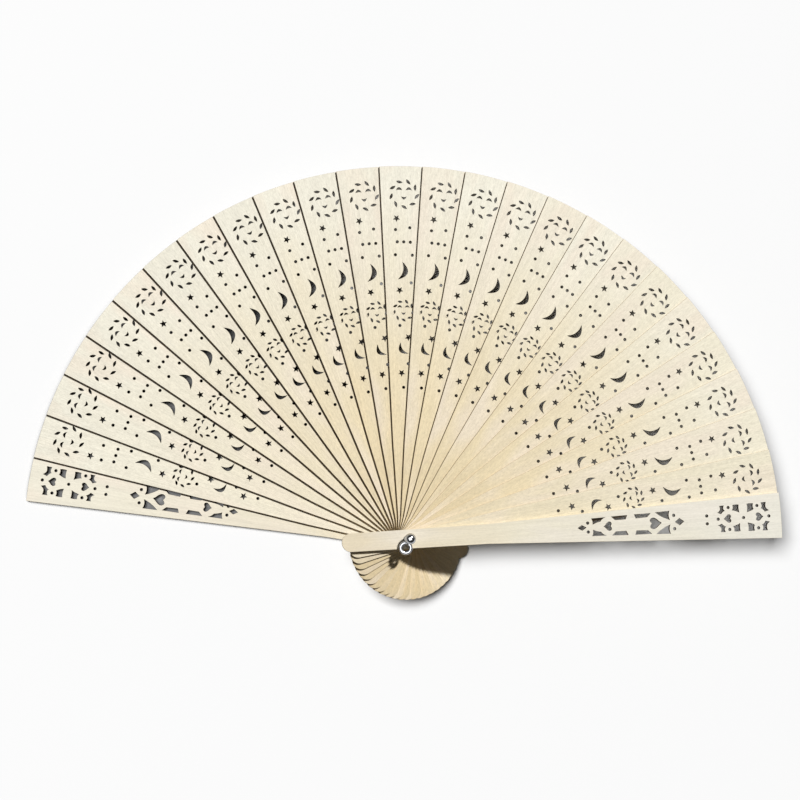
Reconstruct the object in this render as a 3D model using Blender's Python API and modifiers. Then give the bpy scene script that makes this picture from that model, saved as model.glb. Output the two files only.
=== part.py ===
"""Pierced wooden folding fan: thin sticks between two thicker guards, all turning on one rivet.

The rivet's axis is +Z, and the fan lies open in the XY plane with its middle along +Y and its front up.
The origin is where the rivet's axis meets the flat underside of the rivet's cap, on which the fan rests.
Each blade lies flat at a height of its own, from the rear guard at the bottom to the front guard at the
top, so that the blades slide over one another as the fan folds.

A blade is drawn upright in its own XY plane: +Y runs from the rivet to the tip, +X to the right as seen
from the front. A point on it is written (across, along). Every length is in metres.
"""

import math

import bmesh
import bpy
import numpy as np

MM = 0.001

# The whole fan
STICKS = 24
SPREAD = math.radians(167.0)  # between the centre lines of the two guards, fully open
LENGTH = 200 * MM  # of a guard, from butt to tip
GUARD_BUTT = 30 * MM  # from the rivet's axis to the end of a guard's butt
STICK_BUTT = 27 * MM  # the sticks' butts stop short of the guards'
TIP = LENGTH - GUARD_BUTT

# Blade thicknesses, and the air between one layer and the next
STICK_THICK = 0.7 * MM
GUARD_THICK = 1.6 * MM
GAP = 0.2 * MM

# Blade outlines: half the width at distances from the rivet's axis, from the butt's round end to the tip
BUTT_HALF = 4.1 * MM
STICK_WIDTHS = (
    (BUTT_HALF - STICK_BUTT, BUTT_HALF),
    (10 * MM, 3.4 * MM),
    (44 * MM, 5.4 * MM),
    (TIP, 10.4 * MM),
)
GUARD_WIDTHS = ((BUTT_HALF - GUARD_BUTT, BUTT_HALF), (35 * MM, 4.4 * MM), (TIP, 10.3 * MM))

# Rivet, its cap and the hanging ring
PIN_RADIUS = 1.0 * MM
HOLE_RADIUS = 1.2 * MM
HEAD_RADIUS = 2.5 * MM
CAP_RADIUS = 3.0 * MM
CAP_THICK = 1.0 * MM
CAP_ROUNDING = 0.3 * MM
SOCKET_RADIUS = 1.2 * MM
SOCKET_FLOOR = 0.45 * MM
RING_RADIUS = 2.25 * MM  # to the middle of the ring's wire
RING_WIRE = 0.85 * MM
RING_REACH = 4.35 * MM  # from the rivet's axis to the ring's centre
RING_BEARING = math.radians(248.5)  # direction of the ring from the rivet, anticlockwise from +X
EYE_RADIUS = 2.35 * MM
EYE_THICK = 0.8 * MM
HEAD_ABOVE_RING = 2.85 * MM  # from the ring's mid-plane to the centre of the round head

# Ribbon links, each glued under one blade and onto the face of the next
LINK_ALONG = (164.4 * MM, 168.4 * MM)
LINK_WIDTH = 7.0 * MM
LINK_INSET = 0.3 * MM
LINK_THICK = 0.1 * MM

# Openwork
MOON_SEGMENTS = 6
DOT_SEGMENTS = 8
DOT_RADIUS = 0.7 * MM
STAR_MOTIF_MIDDLE = 152.5 * MM  # of the guards' upper group of cut-outs, along the blade
BAR_MOTIF_MIDDLE = 100.4 * MM  # of their lower group

# Colours and finish: (red, green, blue), roughness, metallic
FINISHES = {
    "stick_wood": ((0.80, 0.70, 0.50), 0.65, 0.0),
    "guard_wood": ((0.76, 0.69, 0.53), 0.65, 0.0),
    "polished_metal": ((0.62, 0.63, 0.64), 0.15, 1.0),
    "ribbon_cloth": ((0.86, 0.82, 0.72), 0.85, 0.0),
}


# ---------------------------------------------------------------- heights


def stick_floor(number):
    """Height of the underside of stick 1, 2, 3 ... counted from the rear guard."""
    return CAP_THICK + GAP + GUARD_THICK + GAP + (number - 1) * (STICK_THICK + GAP)


REAR_GUARD_FLOOR = CAP_THICK + GAP
FRONT_GUARD_FLOOR = stick_floor(STICKS + 1)
RING_MIDDLE = FRONT_GUARD_FLOOR + GUARD_THICK + GAP + RING_WIRE
HEAD_MIDDLE = RING_MIDDLE + HEAD_ABOVE_RING


def blade_turn(number):
    """Turn about the rivet of blade 0 (the rear guard) to STICKS + 1 (the front guard), from upright."""
    return SPREAD / 2 - number * SPREAD / (STICKS + 1)


# ---------------------------------------------------------------- flat outlines


def arc(centre, radius, first, last, segments):
    """Points along an arc, angles in degrees anticlockwise from +X, both ends included."""
    angles = np.radians(np.linspace(first, last, segments + 1))
    return [(centre[0] + radius * math.cos(a), centre[1] + radius * math.sin(a)) for a in angles]


def bowed(start, end, bow, segments):
    """Points from start towards end, without end, on a curve that bows right by bow times its length."""
    (x0, y0), (x1, y1) = start, end
    points = []
    for step in range(segments):
        share = step / segments
        offset = 4 * share * (1 - share) * bow
        x = x0 + share * (x1 - x0) + offset * (y1 - y0)
        y = y0 + share * (y1 - y0) - offset * (x1 - x0)
        points.append((x, y))
    return points


def half_width(widths, along):
    return float(np.interp(along, [place for place, _ in widths], [half for _, half in widths]))


def blade_outline(widths):
    """Round butt, sides through the given widths, and a tip that is an arc about the rivet."""
    tip_half = widths[-1][1]
    tip_angle = math.degrees(math.asin(tip_half / TIP))
    right_side = [(half, along) for along, half in widths[1:-1]]
    left_side = [(-across, along) for across, along in reversed(right_side)]
    butt_middle, butt_radius = widths[0]
    butt = arc((0, butt_middle), butt_radius, 180, 360, 8)
    tip = arc((0, 0), TIP, 90 - tip_angle, 90 + tip_angle, 4)
    return butt + right_side + tip + left_side


def dot(across, along, radius=DOT_RADIUS, segments=DOT_SEGMENTS):
    return arc((across, along), radius, 0, 360, segments)[:-1]


def crescent(across, along, half_chord, tilt, outer, inner):
    """Moon with its chord centred at the point and tilted clockwise from upright, bulging to its right."""
    upright = (math.sin(tilt), math.cos(tilt))
    top = (across + half_chord * upright[0], along + half_chord * upright[1])
    foot = (across - half_chord * upright[0], along - half_chord * upright[1])
    chord = 2 * half_chord
    return bowed(foot, top, outer / chord, MOON_SEGMENTS) + bowed(top, foot, -inner / chord, MOON_SEGMENTS)


def stick_cutouts():
    """The two moons, the largest cut-outs of a stick, and its hole for the rivet."""
    return [
        dot(0, 0, HOLE_RADIUS, 16),
        crescent(-1.4 * MM, 121.9 * MM, 4.2 * MM, math.radians(15), 3.6 * MM, 1.4 * MM),
        crescent(0.3 * MM, 86.6 * MM, 3.1 * MM, math.radians(146), 2.8 * MM, 1.2 * MM),
    ]


def on_guard(middle, places):
    """Places on a guard: each is (share of the half width, millimetres past middle)."""
    points = []
    for share, past in places:
        along = middle + past * MM
        points.append((share * half_width(GUARD_WIDTHS, along), along))
    return points


def curved_shape(corners, bows):
    """Closed outline through the corners, each side bowed outwards (+) or inwards (-)."""
    points = []
    for start, end, bow in zip(corners, corners[1:] + corners[:1], bows):
        points += bowed(start, end, bow, 3 if bow else 1)
    return points


def heart(middle, past, length, width, heading):
    """Heart on the guard's centre line, its point towards the tip (heading 1) or the butt (heading -1)."""
    right_half = [(0, 0.5), (0.36, 0.12), (0.5, -0.22), (0.28, -0.5)]
    left_half = [(-x, y) for x, y in reversed(right_half[1:])]
    outline = right_half + [(0, -0.34)] + left_half
    return [(x * width, middle + past * MM + heading * y * length) for x, y in outline]


def both_sides(outline):
    """The outline and its mirror image across the blade's centre line."""
    return [outline, [(-across, along) for across, along in reversed(outline)]]


def star_motif():
    """Upper group: eight concave panels round two hearts, with dots between them."""
    middle = STAR_MOTIF_MIDDLE
    cutouts = [dot(0, middle)]
    cutouts += both_sides(dot(1.75 * MM, middle - 17 * MM))
    for way in (1, -1):
        inner = [(0.24, 1.6), (0.37, 4.8), (0.59, 4.4), (0.61, 1.4)]
        outer = [(0.24, 10.0), (0.28, 11.9), (0.63, 10.3), (0.60, 8.1), (0.42, 8.4)]
        for corners, bows in ((inner, (0, -0.18, 0, -0.16)), (outer, (0, -0.12, 0, -0.08, 0))):
            panel = curved_shape(on_guard(middle, [(share, way * past) for share, past in corners]), bows)
            cutouts += both_sides(panel)
        cutouts += both_sides(dot(0.53 * half_width(GUARD_WIDTHS, middle), middle + way * 6.6 * MM))
        cutouts.append(dot(0, middle + way * 11.8 * MM))
        cutouts.append(heart(middle, way * 7.5, 3.5 * MM, 3.5 * MM, way))
    return cutouts


def bar_motif():
    """Lower group: four bars, four corner panels and two hearts between end diamonds."""
    middle = BAR_MOTIF_MIDDLE
    panels = (
        ([(0.40, 2.6), (0.62, 2.1), (0.62, 9.6), (0.40, 7.8)], (0, 0, 0, 0)),
        ([(0.36, -7.0), (0.61, -8.6), (0.61, -1.4), (0.36, -1.8)], (0, 0, 0, 0)),
        ([(0.16, 18.0), (0.61, 11.7), (0.62, 18.0)], (0.05, 0, -0.12)),
        ([(0.23, -17.7), (0.58, -17.7), (0.60, -11.2), (0.26, -15.0)], (0, 0, 0.12, 0)),
    )
    cutouts = []
    for corners, bows in panels:
        cutouts += both_sides(curved_shape(on_guard(middle, corners), bows))
    for past, share, long_half, wide_half in ((22.4, 0.38, 2.1, 1.65), (-22.4, 0.31, 1.9, 1.25)):
        diamond = ((0, past - long_half), (wide_half, past), (0, past + long_half), (-wide_half, past))
        cutouts.append([(x * MM, middle + y * MM) for x, y in diamond])
        beside = on_guard(middle, [(share, math.copysign(19.9, past))])[0]
        cutouts += both_sides(dot(*beside))
    cutouts.append(heart(middle, 11.4, 5.2 * MM, 5.0 * MM, 1))
    cutouts.append(heart(middle, -10.6, 3.6 * MM, 3.8 * MM, -1))
    return cutouts


def guard_cutouts():
    return [dot(0, 0, HOLE_RADIUS, 16)] + star_motif() + bar_motif()


# ---------------------------------------------------------------- scene helpers


def clear_scene():
    for leftover in list(bpy.data.objects):
        bpy.data.objects.remove(leftover, do_unlink=True)


def new_collection(name):
    collection = bpy.data.collections.new(name)
    bpy.context.scene.collection.children.link(collection)
    return collection


def new_material(name):
    colour, roughness, metallic = FINISHES[name]
    material = bpy.data.materials.new(name)
    material.use_nodes = True
    shader = material.node_tree.nodes["Principled BSDF"]
    shader.inputs["Base Color"].default_value = (*colour, 1)
    shader.inputs["Roughness"].default_value = roughness
    shader.inputs["Metallic"].default_value = metallic
    material.diffuse_color = (*colour, 1)
    return material


def flat_plate(name, thick, outlines, material):
    """Curve data for a flat plate: the first outline is its edge, and the others are holes through it."""
    curve = bpy.data.curves.new(name, "CURVE")
    curve.dimensions = "2D"
    curve.fill_mode = "BOTH"
    curve.extrude = thick / 2
    for outline in outlines:
        spline = curve.splines.new("POLY")
        spline.points.add(len(outline) - 1)
        for point, (across, along) in zip(spline.points, outline):
            point.co = (across, along, 0, 1)
        spline.use_cyclic_u = True
    curve.materials.append(material)
    return curve


def add_blade(name, plate, floor, thick, number, collection):
    """Object whose origin is on the rivet's axis, at mid-thickness of its layer."""
    blade = bpy.data.objects.new(name, plate)
    blade.location = (0, 0, floor + thick / 2)
    blade.rotation_euler = (0, 0, blade_turn(number))
    collection.objects.link(blade)
    return blade


def turned(name, profile, steps, material, collection):
    """Object of revolution about Z, from a profile of (radius, height) running down its outer side."""
    points = [(radius, 0, height) for radius, height in profile]
    edges = [(i, i + 1) for i in range(len(profile) - 1)]
    mesh = bpy.data.meshes.new(name)
    mesh.from_pydata(points, edges, [])
    mesh.materials.append(material)
    body = bpy.data.objects.new(name, mesh)
    collection.objects.link(body)
    screw = body.modifiers.new("turn", "SCREW")
    screw.steps = steps
    screw.render_steps = steps
    screw.use_merge_vertices = True
    screw.merge_threshold = 0.00001
    screw.use_smooth_shade = True
    return body


def primitive(name, build, material, collection):
    """Object made by a bmesh primitive, given as a function of the bmesh."""
    shape = bmesh.new()
    build(shape)
    mesh = bpy.data.meshes.new(name)
    shape.to_mesh(mesh)
    shape.free()
    if material:
        mesh.materials.append(material)
    body = bpy.data.objects.new(name, mesh)
    collection.objects.link(body)
    return body


def combine(body, tool, operation):
    boolean = body.modifiers.new(tool.name, "BOOLEAN")
    boolean.operation = operation
    boolean.solver = "EXACT"
    boolean.object = tool
    tool.hide_render = True
    tool.display_type = "WIRE"


# ---------------------------------------------------------------- the pieces


def add_guards_and_sticks(materials, collection):
    guard_outlines = [blade_outline(GUARD_WIDTHS)] + guard_cutouts()
    stick_outlines = [blade_outline(STICK_WIDTHS)] + stick_cutouts()
    guard = flat_plate("guard", GUARD_THICK, guard_outlines, materials["guard_wood"])
    stick = flat_plate("stick", STICK_THICK, stick_outlines, materials["stick_wood"])
    add_blade("rear_guard", guard, REAR_GUARD_FLOOR, GUARD_THICK, 0, collection)
    for number in range(1, STICKS + 1):
        add_blade(f"stick_{number:02d}", stick, stick_floor(number), STICK_THICK, number, collection)
    add_blade("front_guard", guard, FRONT_GUARD_FLOOR, GUARD_THICK, STICKS + 1, collection)


def link_outline(widths):
    """Rectangle along the left edge of a blade of the given widths."""
    low, high = LINK_ALONG
    left = LINK_INSET - half_width(widths, low)
    return [(left, low), (left + LINK_WIDTH, low), (left + LINK_WIDTH, high), (left, high)]


def add_ribbon_links(materials, collection):
    """One link in the air gap under every blade but the rear guard, turning with that blade."""
    cloth = materials["ribbon_cloth"]
    stick_link = flat_plate("stick_link", LINK_THICK, [link_outline(STICK_WIDTHS)], cloth)
    guard_link = flat_plate("guard_link", LINK_THICK, [link_outline(GUARD_WIDTHS)], cloth)
    for number in range(1, STICKS + 2):
        plate = guard_link if number > STICKS else stick_link
        floor = stick_floor(number) - (GAP + LINK_THICK) / 2
        add_blade(f"ribbon_{number:02d}", plate, floor, LINK_THICK, number, collection)


def rounded_rim(radius, height, rounding, first, last):
    """Profile points round a rim corner whose arc centre is at (radius - rounding, height)."""
    return arc((radius - rounding, height), rounding, first, last, 3)


def add_rivet(materials, collection):
    """Round head, neck and pin in one turned piece; the pin's foot stands in the cap's socket."""
    neck_angle = math.degrees(math.asin(PIN_RADIUS / HEAD_RADIUS))
    ball = arc((0, HEAD_MIDDLE), HEAD_RADIUS, 90, neck_angle - 90, 12)
    foot = SOCKET_FLOOR + GAP
    profile = [(0, ball[0][1])] + ball[1:] + [(PIN_RADIUS, foot), (0, foot)]
    turned("rivet", profile, 20, materials["polished_metal"], collection)


def add_rivet_cap(materials, collection):
    """Flat button under the rear guard, with a blind socket for the pin's foot."""
    top_edge = rounded_rim(CAP_RADIUS, CAP_THICK - CAP_ROUNDING, CAP_ROUNDING, 90, 0)
    bottom_edge = rounded_rim(CAP_RADIUS, CAP_ROUNDING, CAP_ROUNDING, 0, -90)
    socket = [(0, SOCKET_FLOOR), (SOCKET_RADIUS, SOCKET_FLOOR), (SOCKET_RADIUS, CAP_THICK)]
    profile = socket + top_edge + bottom_edge + [(0, 0)]
    turned("rivet_cap", profile, 20, materials["polished_metal"], collection)


def add_tassel_ring(materials, collection, cutters):
    """Ring for a tassel, joined to a flat eye that turns on the rivet's neck under the round head."""
    metal = materials["polished_metal"]
    centre_x = RING_REACH * math.cos(RING_BEARING)
    centre_y = RING_REACH * math.sin(RING_BEARING)
    bpy.ops.mesh.primitive_torus_add(
        major_radius=RING_RADIUS,
        minor_radius=RING_WIRE,
        major_segments=20,
        minor_segments=10,
        location=(0, 0, 0),
    )
    ring = bpy.context.active_object
    ring.name = "tassel_ring"
    for holder in list(ring.users_collection):
        holder.objects.unlink(ring)
    collection.objects.link(ring)
    # The ring's shape is moved off the object's origin, which stays on the rivet's axis.
    for vertex in ring.data.vertices:
        vertex.co.x += centre_x
        vertex.co.y += centre_y
    ring.data.materials.append(metal)
    ring.data.shade_smooth()
    ring.location = (0, 0, RING_MIDDLE)

    def eye_shape(shape):
        bmesh.ops.create_cone(
            shape, cap_ends=True, segments=20, radius1=EYE_RADIUS, radius2=EYE_RADIUS, depth=EYE_THICK
        )

    def hole_shape(shape):
        bmesh.ops.create_cone(
            shape, cap_ends=True, segments=20, radius1=HOLE_RADIUS, radius2=HOLE_RADIUS, depth=4 * RING_WIRE
        )

    eye = primitive("eye_blank", eye_shape, metal, cutters)
    eye.location = (0, 0, RING_MIDDLE - RING_WIRE + EYE_THICK / 2)
    hole = primitive("eye_hole", hole_shape, None, cutters)
    hole.location = (0, 0, RING_MIDDLE)
    combine(ring, eye, "UNION")
    combine(ring, hole, "DIFFERENCE")


def main():
    clear_scene()
    fan = new_collection("hand_fan")
    cutters = new_collection("cutters")
    materials = {name: new_material(name) for name in FINISHES}
    add_guards_and_sticks(materials, fan)
    add_ribbon_links(materials, fan)
    add_rivet(materials, fan)
    add_rivet_cap(materials, fan)
    add_tassel_ring(materials, fan, cutters)


main()
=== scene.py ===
"""Looks of a pierced wooden folding fan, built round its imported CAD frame.

Every wooden blade, ribbon link and piece of hardware stands for the CAD node of the same place. The
dimensions repeat those of the CAD part, in metres: the rivet's axis is +Z and the fan lies open in the XY
plane with its middle along +Y. A blade is drawn upright in its own plane, +Y from the rivet to the tip, and
a point on it is written (across, along). Each blade's points are also stored on its mesh as "grain", so
that the wood's figure follows the blade wherever it turns.
"""

import math

import bmesh
import bpy
import numpy as np
from mathutils import Matrix, Vector


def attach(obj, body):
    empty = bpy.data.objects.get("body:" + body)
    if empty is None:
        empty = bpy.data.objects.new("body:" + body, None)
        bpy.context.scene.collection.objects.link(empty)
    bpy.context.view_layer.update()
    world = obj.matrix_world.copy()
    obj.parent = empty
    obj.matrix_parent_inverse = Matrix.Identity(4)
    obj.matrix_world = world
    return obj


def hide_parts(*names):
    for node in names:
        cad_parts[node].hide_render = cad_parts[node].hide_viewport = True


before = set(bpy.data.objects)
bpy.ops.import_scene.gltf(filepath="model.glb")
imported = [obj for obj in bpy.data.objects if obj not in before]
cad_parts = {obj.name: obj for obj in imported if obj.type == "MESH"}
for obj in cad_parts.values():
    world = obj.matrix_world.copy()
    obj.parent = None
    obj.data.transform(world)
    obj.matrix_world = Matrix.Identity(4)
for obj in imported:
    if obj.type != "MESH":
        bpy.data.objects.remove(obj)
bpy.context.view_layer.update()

MM = 0.001

# ---------------------------------------------------------------- dimensions of the CAD part

STICKS = 24
SPREAD = math.radians(167.0)
GUARD_BUTT = 30 * MM
STICK_BUTT = 27 * MM
TIP = 170 * MM
STICK_THICK = 0.7 * MM
GUARD_THICK = 1.6 * MM
GAP = 0.2 * MM
BUTT_HALF = 4.1 * MM
STICK_WIDTHS = (
    (BUTT_HALF - STICK_BUTT, BUTT_HALF),
    (10 * MM, 3.4 * MM),
    (44 * MM, 5.4 * MM),
    (TIP, 10.4 * MM),
)
GUARD_WIDTHS = ((BUTT_HALF - GUARD_BUTT, BUTT_HALF), (35 * MM, 4.4 * MM), (TIP, 10.3 * MM))

PIN_RADIUS = 1.0 * MM
HOLE_RADIUS = 1.2 * MM
HEAD_RADIUS = 2.5 * MM
CAP_RADIUS = 3.0 * MM
CAP_THICK = 1.0 * MM
CAP_ROUNDING = 0.3 * MM
SOCKET_RADIUS = 1.2 * MM
SOCKET_FLOOR = 0.45 * MM
RING_RADIUS = 2.25 * MM
RING_WIRE = 0.85 * MM
RING_REACH = 4.35 * MM
RING_BEARING = math.radians(248.5)
EYE_RADIUS = 2.35 * MM
EYE_THICK = 0.8 * MM
HEAD_ABOVE_RING = 2.85 * MM

LINK_ALONG = (164.4 * MM, 168.4 * MM)
LINK_WIDTH = 7.0 * MM
LINK_INSET = 0.3 * MM
LINK_THICK = 0.1 * MM

STAR_MOTIF_MIDDLE = 152.5 * MM
BAR_MOTIF_MIDDLE = 100.4 * MM

# ---------------------------------------------------------------- finer than the CAD part

EDGE_BEVEL = 0.06 * MM
DOT_RADIUS = 0.68 * MM
STAR_OUTER = 1.65 * MM
STAR_INNER = 0.72 * MM
FLAME_LEAN = math.radians(58)  # of a flame's length from the sun's radius
FLAMES = 9
MITRE_LIMIT = 0.8  # keeps the corners of an inset outline from running out at sharp points
RING_VOXEL = 0.09 * MM
RING_ROUNDING = 0.2 * MM
PIN_CHAMFER = 0.2 * MM
THREAD_PITCH = 0.25 * MM
RIPPLE = 0.012 * MM
SMOOTH_METAL = math.radians(40)  # edges sharper than this stay sharp
SMOOTH_RIBBON = math.radians(60)

# Every place and size in these tables is in millimetres.
# Moons: middle of the chord across and along, half the chord, how far the outer and the inner side bulge
# from it, and the chord's tilt in degrees
MOONS = (
    (-1.4, 121.9, 4.2, 3.6, 1.4, 15),
    (0.3, 86.6, 3.1, 2.8, 1.2, 146),
)
# Suns: centre across and along, radius of the ring of flames, flame length and width, face scale
SUNS = (
    (0.72, 157.1, 6.05, 2.9, 1.15, 1.0),
    (-0.04, 103.6, 4.35, 2.15, 0.95, 0.76),
)
# A sun's face at scale 1, from its centre: eye and smile as moons that lie on their chords
EYE = (2.25, 1.8, 1.4, 1.35, 0.3, -90)
SMILE = (-0.05, -1.1, 1.25, 1.35, 0.35, 90)
# Stars and dots of a stick: across and along
STARS = ((-2.83, 145.9), (-1.70, 112.9), (2.03, 91.4), (-1.21, 75.15))
DOTS = (
    (-3.32, 140.7),
    (3.22, 141.6),
    (-2.56, 135.1),
    (0.40, 135.1),
    (3.40, 134.95),
    (-3.49, 129.15),
    (4.24, 129.0),
    (3.61, 116.3),
    (-1.75, 96.8),
    (1.83, 79.4),
    (-0.35, 68.65),
)


# ---------------------------------------------------------------- heights and turns


def stick_floor(number):
    """Height of the underside of stick 1, 2, 3 ... counted from the rear guard."""
    return CAP_THICK + GAP + GUARD_THICK + GAP + (number - 1) * (STICK_THICK + GAP)


REAR_GUARD_FLOOR = CAP_THICK + GAP
FRONT_GUARD_FLOOR = stick_floor(STICKS + 1)
RING_MIDDLE = FRONT_GUARD_FLOOR + GUARD_THICK + GAP + RING_WIRE
HEAD_MIDDLE = RING_MIDDLE + HEAD_ABOVE_RING


def blade_turn(number):
    """Turn about the rivet of blade 0 (the rear guard) to STICKS + 1 (the front guard), from upright."""
    return SPREAD / 2 - number * SPREAD / (STICKS + 1)


# ---------------------------------------------------------------- flat outlines


def arc(centre, radius, first, last, segments):
    """Points along an arc, angles in degrees anticlockwise from +X, both ends included."""
    angles = np.radians(np.linspace(first, last, segments + 1))
    return [(centre[0] + radius * math.cos(a), centre[1] + radius * math.sin(a)) for a in angles]


def bowed(start, end, bow, segments):
    """Points from start towards end, without end, on a curve that bows right by bow times its length."""
    (x0, y0), (x1, y1) = start, end
    points = []
    for step in range(segments):
        share = step / segments
        offset = 4 * share * (1 - share) * bow
        x = x0 + share * (x1 - x0) + offset * (y1 - y0)
        y = y0 + share * (y1 - y0) - offset * (x1 - x0)
        points.append((x, y))
    return points


def half_width(widths, along):
    return float(np.interp(along, [place for place, _ in widths], [half for _, half in widths]))


def blade_outline(widths):
    """Round butt, sides through the given widths, and a tip that is an arc about the rivet."""
    tip_angle = math.degrees(math.asin(widths[-1][1] / TIP))
    right_side = [(half, along) for along, half in widths[1:-1]]
    left_side = [(-across, along) for across, along in reversed(right_side)]
    butt_middle, butt_radius = widths[0]
    butt = arc((0, butt_middle), butt_radius, 180, 360, 24)
    tip = arc((0, 0), TIP, 90 - tip_angle, 90 + tip_angle, 12)
    return butt + right_side + tip + left_side


def dot(across, along, radius=DOT_RADIUS, segments=14):
    return arc((across, along), radius, 0, 360, segments)[:-1]


def rivet_hole():
    return dot(0, 0, HOLE_RADIUS, segments=32)


def leaf(centre, heading, length, left_bow, right_bow, segments=6):
    """Pointed leaf along a heading, whose two sides bow out by shares of its length."""
    step = (0.5 * length * math.cos(heading), 0.5 * length * math.sin(heading))
    foot = (centre[0] - step[0], centre[1] - step[1])
    top = (centre[0] + step[0], centre[1] + step[1])
    return bowed(foot, top, right_bow, segments) + bowed(top, foot, left_bow, segments)


def crescent(across, along, half_chord, outer, inner, tilt, segments=14):
    """Moon that bulges to the right of its chord, which is tilted clockwise from upright."""
    heading = math.radians(90 - tilt)
    chord = 2 * half_chord
    return leaf((across * MM, along * MM), heading, chord * MM, -inner / chord, outer / chord, segments)


def star(across, along):
    """Five-pointed star with one point towards the butt."""
    points = []
    for corner in range(10):
        radius = STAR_INNER if corner % 2 else STAR_OUTER
        angle = math.radians(36 * corner - 90)
        points.append((across * MM + radius * math.cos(angle), along * MM + radius * math.sin(angle)))
    return points


def sun(across, along, ring, length, width, face):
    """Ring of leaning flames round two arched eyes and a small smile."""
    shapes = []
    bow = 0.5 * width / length
    for number in range(FLAMES):
        angle = math.radians(360 * number / FLAMES - 90)
        place = ((across + ring * math.cos(angle)) * MM, (along + ring * math.sin(angle)) * MM)
        shapes.append(leaf(place, angle + FLAME_LEAN, length * MM, 1.2 * bow, 0.8 * bow))
    for side, feature in ((-1, EYE), (1, EYE), (1, SMILE)):
        aside, above, *sizes, tilt = feature
        place = (across + side * aside * face, along + above * face)
        shapes.append(crescent(*place, *[size * face for size in sizes], tilt, segments=6))
    return shapes


def stick_cutouts():
    cutouts = [rivet_hole()]
    cutouts += [crescent(*moon) for moon in MOONS]
    for numbers in SUNS:
        cutouts += sun(*numbers)
    cutouts += [star(*place) for place in STARS]
    cutouts += [dot(across * MM, along * MM) for across, along in DOTS]
    return cutouts


def curved_shape(middle, corners):
    """Closed outline through corners, each (across, past the middle, bow of the side that follows it)."""
    points = []
    places = [(across * MM, middle + past * MM) for across, past, _ in corners]
    for number, (_, _, bow) in enumerate(corners):
        points += bowed(places[number], places[(number + 1) % len(places)], bow, 5 if bow else 1)
    return points


def heart(middle, past, length, width, heading):
    """Heart on the guard's centre line, its point towards the tip (heading 1) or the butt (heading -1)."""
    half = [(0, 0.52), (0.13, 0.33), (0.36, 0.10), (0.49, -0.12), (0.49, -0.30), (0.40, -0.45)]
    half += [(0.26, -0.50), (0.11, -0.43)]
    outline = half + [(0, -0.33)] + [(-x, y) for x, y in reversed(half[1:])]
    return [(x * width, middle + past * MM + heading * y * length) for x, y in outline]


def both_sides(outline):
    """The outline and its mirror image across the blade's centre line."""
    return [outline, [(-across, along) for across, along in reversed(outline)]]


def star_motif():
    """Upper group: eight concave panels round two hearts, with dots between them."""
    middle = STAR_MOTIF_MIDDLE
    panels = (
        ((2.4, 1.8, -0.06), (6.1, 1.9, 0.04), (6.1, 4.8, -0.12), (3.6, 4.9, 0.05)),
        ((2.4, -1.8, -0.05), (3.6, -5.1, -0.12), (5.9, -4.7, 0.04), (5.95, -1.9, -0.06)),
        (
            (2.1, 10.1, -0.08),
            (3.75, 8.4, -0.1),
            (4.6, 8.9, -0.06),
            (6.3, 8.5, 0),
            (6.35, 10.8, -0.06),
            (4.2, 10.5, -0.1),
            (2.65, 12.0, 0),
        ),
        (
            (2.2, -10.3, 0),
            (2.9, -12.0, -0.1),
            (4.2, -10.6, -0.06),
            (5.85, -10.9, 0),
            (5.95, -8.8, -0.06),
            (4.6, -9.2, -0.1),
            (3.6, -8.5, -0.08),
        ),
    )
    cutouts = [dot(0, middle)]
    for corners in panels:
        cutouts += both_sides(curved_shape(middle, corners))
    for across, past in ((1.75, -17.0), (5.05, 6.6), (4.95, -6.8)):
        cutouts += both_sides(dot(across * MM, middle + past * MM))
    for way in (1, -1):
        cutouts.append(dot(0, middle + way * 11.8 * MM))
        cutouts.append(heart(middle, way * 7.45, 3.3 * MM, 3.7 * MM, way))
    return cutouts


def bar_motif():
    """Lower group: four bars, four corner panels and two hearts between end diamonds."""
    middle = BAR_MOTIF_MIDDLE
    panels = (
        ((2.75, 2.4, 0), (4.5, 1.8, 0), (4.6, 9.3, 0), (3.0, 7.6, 0)),
        ((2.6, -7.1, 0), (4.2, -8.8, 0), (4.4, -1.5, 0), (2.6, -2.3, 0)),
        ((1.1, 18.0, 0.05), (4.85, 11.5, 0), (5.1, 18.0, -0.12)),
        ((1.2, -17.4, -0.08), (3.9, -17.9, 0), (4.1, -11.4, -0.10), (2.3, -13.9, -0.05)),
    )
    cutouts = []
    for corners in panels:
        cutouts += both_sides(curved_shape(middle, corners))
    for past, half_long, half_wide in ((22.4, 2.1, 1.6), (-22.4, 1.95, 1.2)):
        top, foot = (0, past + half_long, 0), (0, past - half_long, 0)
        cutouts.append(curved_shape(middle, (foot, (half_wide, past, 0), top, (-half_wide, past, 0))))
    for across, past in ((3.0, 19.9), (2.0, -19.7)):
        cutouts += both_sides(dot(across * MM, middle + past * MM))
    cutouts.append(heart(middle, 11.4, 5.2 * MM, 5.1 * MM, 1))
    cutouts.append(heart(middle, -10.6, 3.5 * MM, 4.1 * MM, -1))
    return cutouts


def guard_cutouts():
    return [rivet_hole()] + star_motif() + bar_motif()


# ---------------------------------------------------------------- meshes


def signed_area(outline):
    xs, ys = np.array(outline).T
    return 0.5 * float(np.dot(xs, np.roll(ys, -1)) - np.dot(ys, np.roll(xs, -1)))


def inset(outline, distance):
    """The outline's points, moved to its left by the distance."""
    points = np.array(outline)
    ahead = np.roll(points, -1, axis=0) - points
    ahead /= np.linalg.norm(ahead, axis=1)[:, None]
    left = np.stack([-ahead[:, 1], ahead[:, 0]], axis=1)
    corner = left + np.roll(left, 1, axis=0)
    corner /= np.maximum(np.sum(corner * corner, axis=1), MITRE_LIMIT)[:, None] / 2
    return points + distance * corner


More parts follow.
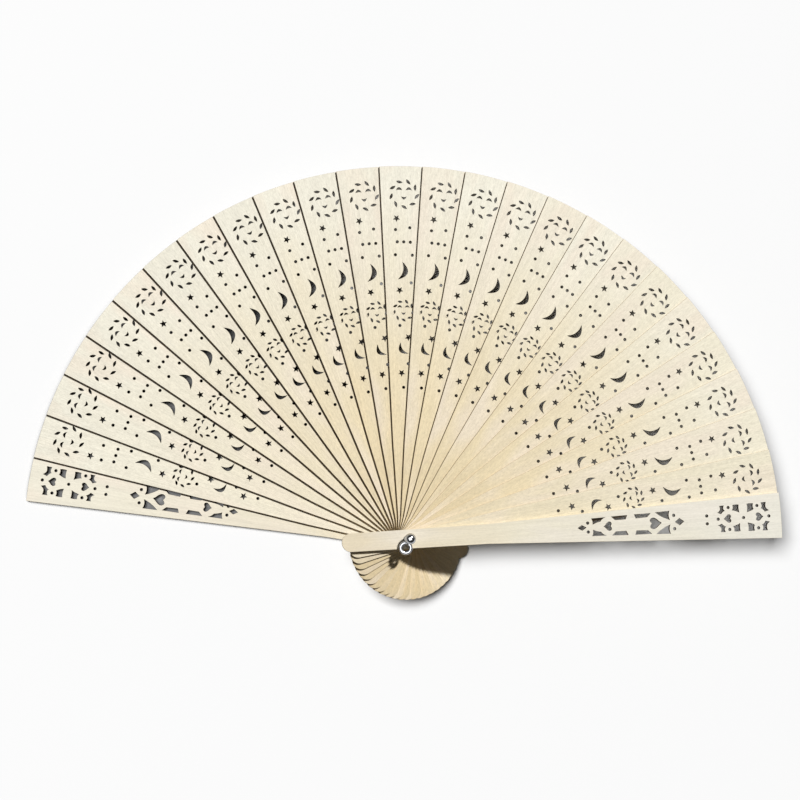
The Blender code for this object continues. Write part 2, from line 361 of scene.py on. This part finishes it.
def plate_mesh(name, thick, outlines, materials):
    """Flat plate with bevelled edges. The outlines are its edge and then its cut-outs, and the materials
    are those of its faces, its edge and the cut-outs' walls."""
    shape = bmesh.new()
    half = thick / 2
    levels = ((-half, EDGE_BEVEL), (EDGE_BEVEL - half, 0), (half - EDGE_BEVEL, 0), (half, EDGE_BEVEL))
    rims = {0: [], len(levels) - 1: []}
    for number, outline in enumerate(outlines):
        # The edge runs anticlockwise and the holes clockwise, so that the wood is always on the left.
        if (signed_area(outline) > 0) != (number == 0):
            outline = outline[::-1]
        rings = []
        for height, distance in levels:
            ring = [shape.verts.new((x, y, height)) for x, y in inset(outline, distance)]
            rings.append(ring)
        for lower, upper in zip(rings, rings[1:]):
            for i in range(len(outline)):
                j = (i + 1) % len(outline)
                wall = shape.faces.new((lower[i], lower[j], upper[j], upper[i]))
                wall.material_index = 1 if number == 0 else 2
        for level, rim in rims.items():
            ring = rings[level]
            rim += [shape.edges.get((ring[i], ring[(i + 1) % len(ring)])) for i in range(len(ring))]
    for rim in rims.values():
        bmesh.ops.triangle_fill(shape, edges=rim, use_beauty=True)
    bmesh.ops.recalc_face_normals(shape, faces=shape.faces)
    mesh = bpy.data.meshes.new(name)
    shape.to_mesh(mesh)
    shape.free()
    for material in materials:
        mesh.materials.append(material)
    store_grain(mesh)
    return mesh


def store_grain(mesh):
    """Keeps each point's place in the piece's own frame, for its material to read."""
    places = np.empty(len(mesh.vertices) * 3, np.float32)
    mesh.vertices.foreach_get("co", places)
    grain = mesh.attributes.new("grain", "FLOAT_VECTOR", "POINT")
    grain.data.foreach_set("vector", places)


def turned_mesh(name, profile, steps, material):
    """Solid of revolution about Z, from a profile of (radius, height) running down its outer side."""
    shape = bmesh.new()
    rings = []
    for radius, height in profile:
        count = steps if radius > 0 else 1
        ring = []
        for angle in [math.tau * i / count for i in range(count)]:
            ring.append(shape.verts.new((radius * math.cos(angle), radius * math.sin(angle), height)))
        rings.append(ring)
    for upper, lower in zip(rings, rings[1:]):
        for i in range(steps):
            j = (i + 1) % steps
            corners = [upper[i % len(upper)], lower[i % len(lower)]]
            corners += [lower[j % len(lower)], upper[j % len(upper)]]
            # On the axis two corners are one point, and the face is a triangle.
            shape.faces.new(list(dict.fromkeys(corners)))
    bmesh.ops.recalc_face_normals(shape, faces=shape.faces)
    mesh = bpy.data.meshes.new(name)
    shape.to_mesh(mesh)
    shape.free()
    mesh.materials.append(material)
    mesh.shade_smooth()
    mesh.set_sharp_from_angle(angle=SMOOTH_METAL)
    store_grain(mesh)
    return mesh


def evaluated_mesh(name, body, material):
    """The object's mesh with its modifiers applied; the object itself is removed."""
    graph = bpy.context.evaluated_depsgraph_get()
    mesh = bpy.data.meshes.new_from_object(body.evaluated_get(graph))
    mesh.name = name
    mesh.materials.clear()
    mesh.materials.append(material)
    bpy.data.objects.remove(body, do_unlink=True)
    return mesh


def helper(name, mesh):
    """Object for a modifier to work on or with."""
    body = bpy.data.objects.new(name, mesh)
    bpy.context.scene.collection.objects.link(body)
    return body


def torus_mesh(centre, radius, wire_radius, steps, wire_steps):
    """Round ring in the XY plane, with the given steps round it and round its wire."""
    shape = bmesh.new()
    rings = []
    for turn in np.linspace(0, math.tau, steps, endpoint=False):
        spin = Matrix.Rotation(turn, 3, "Z")
        ring = []
        for angle in np.linspace(0, math.tau, wire_steps, endpoint=False):
            point = Vector((radius + wire_radius * math.cos(angle), 0, wire_radius * math.sin(angle)))
            ring.append(shape.verts.new(spin @ point + centre))
        rings.append(ring)
    for number, ring in enumerate(rings):
        following = rings[(number + 1) % len(rings)]
        for i in range(len(ring)):
            j = (i + 1) % len(ring)
            shape.faces.new((ring[i], following[i], following[j], ring[j]))
    bmesh.ops.recalc_face_normals(shape, faces=shape.faces)
    mesh = bpy.data.meshes.new("torus")
    shape.to_mesh(mesh)
    shape.free()
    return mesh


def ring_mesh(material):
    """Cast ring melted into a flat eye that turns on the rivet's neck, about the rivet's axis."""
    centre = Vector((RING_REACH * math.cos(RING_BEARING), RING_REACH * math.sin(RING_BEARING), 0))
    body = helper("ring_blank", torus_mesh(centre, RING_RADIUS, RING_WIRE, 72, 32))

    low, high = -RING_WIRE, EYE_THICK - RING_WIRE
    rim = EYE_RADIUS - RING_ROUNDING
    eye_profile = [(0, high)]
    eye_profile += arc((rim, high - RING_ROUNDING), RING_ROUNDING, 90, 0, 4)
    eye_profile += arc((rim, low + RING_ROUNDING), RING_ROUNDING, 0, -90, 4)
    eye_profile += [(0, low)]
    eye = helper("eye", turned_mesh("eye", eye_profile, 64, material))

    reach = 4 * MM  # well past both faces of the eye
    drill_profile = [(0, reach), (HOLE_RADIUS, reach), (HOLE_RADIUS, -reach), (0, -reach)]
    drill = helper("drill", turned_mesh("drill", drill_profile, 64, material))
    for tool, operation in ((eye, "UNION"), (drill, "DIFFERENCE")):
        step = body.modifiers.new(operation, "BOOLEAN")
        step.operation = operation
        step.solver = "EXACT"
        step.object = tool
    melt = body.modifiers.new("melt", "REMESH")
    melt.mode = "VOXEL"
    melt.voxel_size = RING_VOXEL
    melt.use_smooth_shade = True
    even = body.modifiers.new("even", "SMOOTH")
    even.factor = 0.5
    even.iterations = 4
    mesh = evaluated_mesh("tassel_ring", body, material)
    for tool in (eye, drill):
        bpy.data.objects.remove(tool, do_unlink=True)
    store_grain(mesh)
    return mesh


def link_mesh(name, widths, material):
    """Strip of ribbon at the left edge of a blade of the given widths, rippled by its threads."""
    low, high = LINK_ALONG
    left = LINK_INSET - half_width(widths, low)
    rows, columns = 33, 57
    across = np.linspace(left, left + LINK_WIDTH, columns)
    along = np.linspace(low, high, rows)
    threads = math.pi / THREAD_PITCH
    shape = bmesh.new()
    layers = []
    for side in (-1, 1):
        layer = []
        for y in along:
            row = []
            for x in across:
                ripple = RIPPLE * math.sin(threads * x) * math.sin(threads * y)
                row.append(shape.verts.new((x, y, side * (LINK_THICK / 2 - RIPPLE) + ripple)))
            layer.append(row)
        layers.append(layer)
    lower, upper = layers
    for layer, way in ((lower, -1), (upper, 1)):
        for i in range(rows - 1):
            for j in range(columns - 1):
                corners = [layer[i][j], layer[i][j + 1], layer[i + 1][j + 1], layer[i + 1][j]]
                shape.faces.new(corners[::way])
    border = [(0, j) for j in range(columns)]
    border += [(i, columns - 1) for i in range(1, rows)]
    border += [(rows - 1, j) for j in range(columns - 2, -1, -1)]
    border += [(i, 0) for i in range(rows - 2, 0, -1)]
    for (i, j), (m, n) in zip(border, border[1:] + border[:1]):
        shape.faces.new((lower[i][j], lower[m][n], upper[m][n], upper[i][j]))
    mesh = bpy.data.meshes.new(name)
    shape.to_mesh(mesh)
    shape.free()
    mesh.materials.append(material)
    mesh.shade_smooth()
    mesh.set_sharp_from_angle(angle=SMOOTH_RIBBON)
    store_grain(mesh)
    return mesh


# ---------------------------------------------------------------- materials

# Distances from the rivet between which one colour of a blade gives way to the next
BUTT_FADE = (-10 * MM, 50 * MM)
INNER_FADE = (55 * MM, 155 * MM)
# Painted light: the cut edges turn paler towards the butt between these distances.
PAINTED_LIGHT_EDGE_FADE = (5 * MM, 70 * MM)

TONE_SHIFT = 97.0  # sets the noise of two pieces of different tones well apart


class Recipe:
    """A new material's node tree, with short ways to add and join nodes."""

    def __init__(self, name):
        self.material = bpy.data.materials.new(name)
        self.material.use_nodes = True
        self.tree = self.material.node_tree
        self.shader = self.tree.nodes["Principled BSDF"]

    def node(self, kind, inputs=(), **settings):
        made = self.tree.nodes.new(kind)
        for key, value in settings.items():
            setattr(made, key, value)
        for key, value in dict(inputs).items():
            self.feed(made.inputs[key], value)
        return made

    def feed(self, socket, value):
        if isinstance(value, bpy.types.NodeSocket):
            self.tree.links.new(value, socket)
        else:
            socket.default_value = value

    def maths(self, operation, first, second):
        return self.node("ShaderNodeMath", {0: first, 1: second}, operation=operation).outputs[0]

    def vectors(self, operation, first, second):
        return self.node("ShaderNodeVectorMath", {0: first, 1: second}, operation=operation).outputs[0]

    def grain(self):
        """Place in the piece's own frame."""
        return self.node("ShaderNodeAttribute", attribute_name="grain").outputs["Vector"]

    def along(self):
        return self.node("ShaderNodeSeparateXYZ", {0: self.grain()}).outputs["Y"]

    def own(self, name):
        """Number that the piece carries under this name."""
        return self.node("ShaderNodeAttribute", attribute_name=name, attribute_type="OBJECT").outputs["Fac"]

    def noise(self, scale, detail=2.0, roughness=0.5):
        """Noise with this many lumps a metre along each axis, shifted by the number the piece carries for
        its tone and painted light.
        """
        shift = self.maths("MULTIPLY", self.own("tone_and_painted_light"), TONE_SHIFT)
        place = self.vectors("ADD", self.vectors("MULTIPLY", self.grain(), scale), shift)
        settings = {"Vector": place, "Scale": 1.0, "Detail": detail, "Roughness": roughness}
        return self.node("ShaderNodeTexNoise", settings).outputs["Fac"]

    def span(self, value, low, high, start=0.0, end=1.0):
        """The value's way from low to high, as a number from start to end, and no further."""
        settings = {"Value": value, "From Min": low, "From Max": high, "To Min": start, "To Max": end}
        return self.node("ShaderNodeMapRange", settings).outputs["Result"]

    def mix(self, share, first, second, blend="MIX"):
        made = self.node("ShaderNodeMix", data_type="RGBA", blend_type=blend)
        # A mix node has its colour sockets after those for numbers and vectors.
        for number, value in ((0, share), (6, first), (7, second)):
            self.feed(made.inputs[number], value)
        return made.outputs[2]

    def bump(self, height, distance, strength=1.0):
        settings = {"Height": height, "Distance": distance, "Strength": strength}
        self.paint(Normal=self.node("ShaderNodeBump", settings).outputs["Normal"])

    def paint(self, **values):
        """Sets or feeds the shader's inputs, whose names are written with _ for a space."""
        for name, value in values.items():
            self.feed(self.shader.inputs[name.replace("_", " ")], value)


def rgb(red, green, blue):
    return (red, green, blue, 1.0)


def wood(name, butt, inner, outer, aged, blush, speckle, brightness_from_tone_and_painted_light):
    """Pale bare wood: fibres along the blade, pores, flecks and broad blushing patches. The butt is the
    darkest, and the inner half is as warm as the blade's own "warmth" says. A blade of a low "tone" is
    yellower (aged) in its outer half, and the tone moves its brightness through the given range; as the
    tone rises towards the rear guard, that brightness is painted light."""
    recipe = Recipe(name)
    fibre = recipe.noise((2600, 55, 2600), 3.0, 0.6)
    pores = recipe.noise((2900, 900, 2900), 2.0, 0.7)
    patches = recipe.noise((75, 22, 75), 2.0, 0.5)
    streaks = recipe.noise((420, 9, 420), 2.0, 0.5)
    flecks = recipe.noise((1000, 420, 1000), 2.0, 0.6)
    tone_and_painted_light = recipe.own("tone_and_painted_light")
    reach = recipe.maths("ADD", recipe.along(), recipe.span(patches, 0, 1, -30 * MM, 30 * MM))
    outer = recipe.mix(recipe.span(tone_and_painted_light, 0, 0.5), aged, outer)
    colour = recipe.mix(recipe.span(reach, *BUTT_FADE), butt, inner)
    colour = recipe.mix(recipe.own("warmth"), outer, colour)
    colour = recipe.mix(recipe.span(reach, *INNER_FADE), colour, outer)
    colour = recipe.mix(recipe.span(patches, 0.48, 0.68, 0, 0.6), colour, blush)
    shades = (
        recipe.span(fibre, 0.3, 0.7, 0.92, 1.03),
        recipe.span(streaks, 0.3, 0.7, 0.965, 1.02),
        recipe.span(pores, 0.38, 0.55, 1 - speckle, 1.0),
        recipe.span(flecks, 0.3, 0.7, 1 - 0.8 * speckle, 1 + 0.3 * speckle),
        # Painted light: the brightness that the tone sets is higher towards the rear guard, as if the light
        # fell off across the fan.
        recipe.span(tone_and_painted_light, 0, 1, *brightness_from_tone_and_painted_light),
    )
    shade = shades[0]
    for following in shades[1:]:
        shade = recipe.maths("MULTIPLY", shade, following)
    colour = recipe.mix(1.0, colour, shade, "MULTIPLY")
    recipe.paint(Base_Color=colour, Roughness=recipe.span(fibre, 0.3, 0.7, 0.72, 0.55))
    recipe.paint(Specular_IOR_Level=0.35)
    recipe.bump(recipe.maths("ADD", fibre, recipe.maths("MULTIPLY", pores, 0.6)), 0.05 * MM)
    return recipe.material


def scorched(name, pale, dark, painted_light_at_butt, roughness):
    """Cut edge browned by the cutting beam, with striations through the thickness, and painted paler round
    the butt as painted light that lightens the shadow lines there."""
    recipe = Recipe(name)
    strips = recipe.noise((5200, 5200, 300), 2.0, 0.6)
    depth = recipe.noise((260, 260, 900), 1.0, 0.5)
    share = recipe.maths("MULTIPLY", recipe.span(strips, 0.3, 0.7), recipe.span(depth, 0.25, 0.6))
    colour = recipe.mix(share, dark, pale)
    # Painted light: paler towards the butt, to lighten the shadow lines near the rivet.
    colour = recipe.mix(recipe.span(recipe.along(), *PAINTED_LIGHT_EDGE_FADE), painted_light_at_butt, colour)
    recipe.paint(Base_Color=colour, Roughness=recipe.span(strips, 0.3, 0.7, roughness, roughness - 0.15))
    recipe.paint(Specular_IOR_Level=0.3)
    recipe.bump(strips, 0.03 * MM)
    return recipe.material


def chrome():
    """Bright plated metal with fine handling scratches and faint duller clouds."""
    recipe = Recipe("polished_metal")
    clouds = recipe.noise((600, 600, 600), 2.0, 0.5)
    scratches = recipe.noise((9000, 700, 5000), 2.0, 0.6)
    colour = recipe.mix(recipe.span(clouds, 0.35, 0.7), rgb(0.56, 0.57, 0.59), rgb(0.44, 0.45, 0.47))
    clouded = recipe.span(clouds, 0.4, 0.7, 0.14, 0.24)
    scratched = recipe.span(scratches, 0.55, 0.8, 0, 0.1)
    recipe.paint(Base_Color=colour, Roughness=recipe.maths("ADD", clouded, scratched), Metallic=1.0)
    recipe.bump(scratches, 0.004 * MM, 0.5)
    return recipe.material


def ribbon_weave():
    """Plain weave of pale silky threads, with painted shade in the gaps between them."""
    recipe = Recipe("ribbon_weave")
    settings = {"Vector": recipe.grain(), "Scale": 1000.0, "Distortion": 0.4, "Detail": 1.0}
    warp = recipe.node("ShaderNodeTexWave", settings, bands_direction="X").outputs["Fac"]
    weft = recipe.node("ShaderNodeTexWave", settings, bands_direction="Y").outputs["Fac"]
    weave = recipe.maths("MULTIPLY", warp, weft)
    fuzz = recipe.noise((3000, 3000, 3000), 2.0, 0.6)
    colour = recipe.mix(recipe.span(fuzz, 0.3, 0.7), rgb(0.80, 0.74, 0.60), rgb(0.88, 0.84, 0.74))
    # Painted shade: darker brown where the weave dips between the threads.
    colour = recipe.mix(recipe.span(weave, 0, 0.6, 0.5, 0), colour, rgb(0.55, 0.47, 0.34))
    recipe.paint(Base_Color=colour, Roughness=recipe.span(fuzz, 0.3, 0.7, 0.75, 0.9), Sheen_Weight=0.4)
    recipe.bump(weave, 0.03 * MM)
    return recipe.material


def floor_paint_with_painted_shade():
    """Matt paint with painted shade: greyer where something lies close over it."""
    recipe = Recipe("floor_paint_with_painted_shade")
    openness = recipe.node("ShaderNodeAmbientOcclusion", {"Distance": 15 * MM}, samples=16).outputs["AO"]
    # Painted shade: the colour goes towards near black where the occlusion test finds something close above
    # the floor.
    colour = recipe.mix(recipe.span(openness, 0.42, 0.66), rgb(0.08, 0.08, 0.08), rgb(0.40, 0.40, 0.40))
    recipe.paint(Base_Color=colour, Roughness=0.9, Specular_IOR_Level=0.1)
    return recipe.material


# ---------------------------------------------------------------- pieces

SCATTER = 0.618  # multiples of this fraction spread evenly and don't repeat
WARMTH_AT_GUARDS = 0.25
WARMTH_FROM_REAR = 0.075  # rise from one stick to the next, counted from the rear guard
WARMTH_FROM_FRONT = 0.25  # and from the front guard


def add_piece(name, mesh, height, turn, body, node, tone_and_painted_light=0.0, warmth=1.0):
    """Puts a piece where its CAD node is, on the rivet's axis at this height and turn."""
    piece = bpy.data.objects.new(name, mesh)
    bpy.context.scene.collection.objects.link(piece)
    piece.location = (0, 0, height)
    piece.rotation_euler = (0, 0, turn)
    piece["tone_and_painted_light"] = tone_and_painted_light
    piece["warmth"] = warmth
    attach(piece, body)
    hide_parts(node)
    return piece


def own_tone_and_painted_light(number):
    """A fixed share between 0 and 1: differs from one blade to the next, and is higher to the rear, where
    the wood reads it as painted light that brightens the blades.
    """
    # Painted light: three quarters of the share rises towards the rear guard to brighten the blades there;
    # the rest is scattered.
    painted_light_rearward = 1 - number / (STICKS + 1)
    scattered = (0.31 + SCATTER * number) % 1.0
    return 0.75 * painted_light_rearward + 0.25 * scattered


def own_warmth(number):
    """The sticks near either guard are cut from paler wood than those in the middle."""
    from_rear = WARMTH_AT_GUARDS + WARMTH_FROM_REAR * number
    from_front = WARMTH_AT_GUARDS + WARMTH_FROM_FRONT * (STICKS + 1 - number)
    return min(1.0, from_rear, from_front)


def add_wood(materials):
    stick_materials = [materials["stick_wood"], materials["toasted_edge"], materials["burnt_wall"]]
    guard_outlines = [blade_outline(GUARD_WIDTHS)] + guard_cutouts()
    stick_outlines = [blade_outline(STICK_WIDTHS)] + stick_cutouts()
    stick = plate_mesh("pierced_stick", STICK_THICK, stick_outlines, stick_materials)
    guards = (("rear", 0, REAR_GUARD_FLOOR), ("front", STICKS + 1, FRONT_GUARD_FLOOR))
    for name, number, floor in guards:
        middle = floor + GUARD_THICK / 2
        turn = blade_turn(number)
        body, node = f"{name}_blade", f"{name}_guard"
        # Each guard takes its own copy of the wood, painted lighter or darker as painted light.
        guard_materials = [materials[f"{node}_wood"], materials["guard_edge"], materials["burnt_wall"]]
        guard = plate_mesh(f"pierced_{node}", GUARD_THICK, guard_outlines, guard_materials)
        tone_and_painted_light = own_tone_and_painted_light(number)
        add_piece(f"{node}_pierced", guard, middle, turn, body, node, tone_and_painted_light)
    for number in range(1, STICKS + 1):
        middle = stick_floor(number) + STICK_THICK / 2
        turn = blade_turn(number)
        body, node = f"blade_{number:02d}", f"stick_{number:02d}"
        tone_and_painted_light, warmth = own_tone_and_painted_light(number), own_warmth(number)
        add_piece(f"{node}_pierced", stick, middle, turn, body, node, tone_and_painted_light, warmth)


def add_ribbons(materials):
    stick_link = link_mesh("stick_link", STICK_WIDTHS, materials["ribbon_weave"])
    guard_link = link_mesh("guard_link", GUARD_WIDTHS, materials["ribbon_weave"])
    for number in range(1, STICKS + 2):
        last = number > STICKS
        body = "front_blade" if last else f"blade_{number:02d}"
        node = f"ribbon_{number:02d}"
        middle = stick_floor(number) - GAP / 2
        turn = blade_turn(number)
        mesh = guard_link if last else stick_link
        add_piece(f"{node}_woven", mesh, middle, turn, body, node, own_tone_and_painted_light(number))


def add_hardware(materials):
    """The rivet, its cap and the ring, which it returns."""
    metal = materials["polished_metal"]
    neck_angle = math.degrees(math.asin(PIN_RADIUS / HEAD_RADIUS))
    ball = arc((0, HEAD_MIDDLE), HEAD_RADIUS, 90, neck_angle - 90, 40)
    pin_foot = SOCKET_FLOOR + GAP
    profile = [(0, ball[0][1])] + ball[1:]
    profile += [(PIN_RADIUS, pin_foot + PIN_CHAMFER), (PIN_RADIUS - PIN_CHAMFER, pin_foot), (0, pin_foot)]
    mesh = turned_mesh("rivet", profile, 64, metal)
    rivet = add_piece("rivet_turned", mesh, 0, 0, "rear_blade", "rivet", 0.1)

    rim = CAP_RADIUS - CAP_ROUNDING
    profile = [(0, SOCKET_FLOOR), (SOCKET_RADIUS, SOCKET_FLOOR), (SOCKET_RADIUS, CAP_THICK)]
    profile += arc((rim, CAP_THICK - CAP_ROUNDING), CAP_ROUNDING, 90, 0, 8)
    profile += arc((rim, CAP_ROUNDING), CAP_ROUNDING, 0, -90, 8)
    profile += [(0, 0)]
    mesh = turned_mesh("rivet_cap", profile, 64, metal)
    cap = add_piece("rivet_cap_turned", mesh, 0, 0, "rear_blade", "rivet_cap", 0.4)

    mesh = ring_mesh(metal)
    ring = add_piece("tassel_ring_cast", mesh, RING_MIDDLE, 0, "ring", "tassel_ring", 0.7)
    return [rivet, cap, ring]


# ---------------------------------------------------------------- camera, light and floor

LENS = 90.0  # focal length and sensor width, in millimetres
SENSOR = 36.0
CAMERA_PLACE = (-0.1061, -0.0209, 0.9075)
CAMERA_LOOKS = (0.1111, 0.0925, -0.9895)
CAMERA_UP = (-0.0577, 0.9946, 0.0865)

LIT_POINT = (0, 0.07, 0)  # middle of the open fan
FLOOR_REACH = 8.0  # from its middle to each side
FLOOR_DROP = 0.02 * MM  # keeps the floor off the cap's underside
ROOM_LIGHT = 0.035  # strength of the light from all round
ROOM_SEEN = 0.93  # grey of the room as the camera sees it


def add_camera():
    lens = bpy.data.cameras.new("camera")
    lens.lens = LENS
    lens.sensor_width = SENSOR
    lens.clip_start = 0.01
    lens.clip_end = 100.0
    camera = bpy.data.objects.new("camera", lens)
    bpy.context.scene.collection.objects.link(camera)
    forward = Vector(CAMERA_LOOKS).normalized()
    right = forward.cross(Vector(CAMERA_UP)).normalized()
    up = right.cross(forward)
    turn = Matrix((right, up, -forward)).transposed().to_4x4()
    camera.matrix_world = Matrix.Translation(CAMERA_PLACE) @ turn
    bpy.context.scene.camera = camera


def add_light(name, bearing, rise, distance, size, power):
    """Square lamp that faces the fan, at a bearing from +X and a rise above the floor, in degrees."""
    bearing, rise = math.radians(bearing), math.radians(rise)
    flat = distance * math.cos(rise)
    offset = Vector((flat * math.cos(bearing), flat * math.sin(bearing), distance * math.sin(rise)))
    light = bpy.data.lights.new(name, "AREA")
    light.shape = "SQUARE"
    light.size = size
    light.energy = power
    lamp = bpy.data.objects.new(name, light)
    bpy.context.scene.collection.objects.link(lamp)
    aim = (-offset).to_track_quat("-Z", "Y")
    lamp.matrix_world = Matrix.Translation(Vector(LIT_POINT) + offset) @ aim.to_matrix().to_4x4()
    return lamp


def link_light(lamp, objects, state):
    """The lamp lights these objects alone, or with the state EXCLUDE everything but them."""
    receivers = bpy.data.collections.new(f"{lamp.name}_receivers")
    for receiver in objects:
        receivers.objects.link(receiver)
    for entry in receivers.collection_objects:
        entry.light_linking.link_state = state
    lamp.light_linking.receiver_collection = receivers


def add_floor(paint):
    corners = [(x * FLOOR_REACH, y * FLOOR_REACH, 0) for x, y in ((-1, -1), (1, -1), (1, 1), (-1, 1))]
    mesh = bpy.data.meshes.new("floor")
    mesh.from_pydata(corners, [], [(0, 1, 2, 3)])
    mesh.materials.append(paint)
    floor = bpy.data.objects.new("floor", mesh)
    floor.location = (0, 0, -FLOOR_DROP)
    bpy.context.scene.collection.objects.link(floor)
    return floor


def add_lights(floor, metal_pieces):
    """A key and a fill for the fan, one lamp for the floor alone, and a white card that only the metal
    mirrors."""
    key = add_light("key_light", bearing=51, rise=46, distance=8.0, size=0.6, power=920.0)
    fill = add_light("fill_light", bearing=60, rise=75, distance=2.6, size=1.4, power=1.0)
    floor_light = add_light("floor_light", bearing=160, rise=69, distance=24.0, size=9.6, power=15200.0)
    card = add_light("metal_card", bearing=200, rise=80, distance=2.0, size=2.2, power=42.0)
    link_light(key, [floor], "EXCLUDE")
    link_light(fill, [floor], "EXCLUDE")
    link_light(floor_light, [floor], "INCLUDE")
    link_light(card, metal_pieces, "INCLUDE")


def add_world():
    """A faint even light, behind which the camera sees a pale grey room."""
    world = bpy.data.worlds.new("studio")
    bpy.context.scene.world = world
    world.use_nodes = True
    nodes, links = world.node_tree.nodes, world.node_tree.links
    background = nodes["Background"]
    background.inputs["Color"].default_value = rgb(1.0, 1.0, 1.0)
    background.inputs["Strength"].default_value = ROOM_LIGHT
    seen = nodes.new("ShaderNodeBackground")
    seen.inputs["Color"].default_value = rgb(ROOM_SEEN, ROOM_SEEN, ROOM_SEEN)
    path = nodes.new("ShaderNodeLightPath")
    both = nodes.new("ShaderNodeMixShader")
    links.new(path.outputs["Is Camera Ray"], both.inputs[0])
    links.new(background.outputs[0], both.inputs[1])
    links.new(seen.outputs[0], both.inputs[2])
    links.new(both.outputs[0], nodes["World Output"].inputs["Surface"])


def make_materials():
    return {
        "stick_wood": wood(
            "stick_wood",
            butt=rgb(0.70, 0.57, 0.35),
            inner=rgb(0.82, 0.69, 0.45),
            outer=rgb(0.86, 0.82, 0.69),
            aged=rgb(0.86, 0.79, 0.60),
            blush=rgb(0.87, 0.76, 0.62),
            speckle=0.10,
            # Painted light: the sticks' brightness range, swept from the front guard's end to the rear
            # guard's.
            brightness_from_tone_and_painted_light=(0.95, 1.08),
        ),
        # Painted light: the two guards share one wood, painted lighter for the rear guard and darker for
        # the front one, as the light falls off towards the front guard.
        "rear_guard_wood": wood(
            "rear_guard_wood",
            butt=rgb(0.80, 0.70, 0.51),
            inner=rgb(0.84, 0.77, 0.60),
            outer=rgb(0.90, 0.85, 0.71),
            aged=rgb(0.90, 0.85, 0.71),
            blush=rgb(0.89, 0.79, 0.66),
            speckle=0.05,
            brightness_from_tone_and_painted_light=(0.99, 1.0),
        ),
        "front_guard_wood": wood(
            "front_guard_wood",
            butt=rgb(0.78, 0.68, 0.50),
            inner=rgb(0.80, 0.74, 0.58),
            outer=rgb(0.79, 0.76, 0.66),
            aged=rgb(0.79, 0.76, 0.66),
            blush=rgb(0.82, 0.76, 0.66),
            speckle=0.05,
            brightness_from_tone_and_painted_light=(0.99, 1.0),
        ),
        "toasted_edge": scorched(
            "toasted_edge",
            pale=rgb(0.50, 0.36, 0.19),
            dark=rgb(0.28, 0.17, 0.08),
            painted_light_at_butt=rgb(0.66, 0.52, 0.32),
            roughness=0.75,
        ),
        "guard_edge": scorched(
            "guard_edge",
            pale=rgb(0.72, 0.62, 0.44),
            dark=rgb(0.58, 0.45, 0.28),
            painted_light_at_butt=rgb(0.72, 0.62, 0.44),
            roughness=0.7,
        ),
        "burnt_wall": scorched(
            "burnt_wall",
            pale=rgb(0.16, 0.09, 0.04),
            dark=rgb(0.035, 0.02, 0.012),
            painted_light_at_butt=rgb(0.16, 0.09, 0.04),
            roughness=0.85,
        ),
        "polished_metal": chrome(),
        "ribbon_weave": ribbon_weave(),
    }


def main():
    materials = make_materials()
    add_camera()
    add_wood(materials)
    add_ribbons(materials)
    metal_pieces = add_hardware(materials)
    floor = add_floor(floor_paint_with_painted_shade())
    add_lights(floor, metal_pieces)
    add_world()
    bpy.context.scene.view_settings.view_transform = "Standard"


main()
bpy.context.view_layer.update()
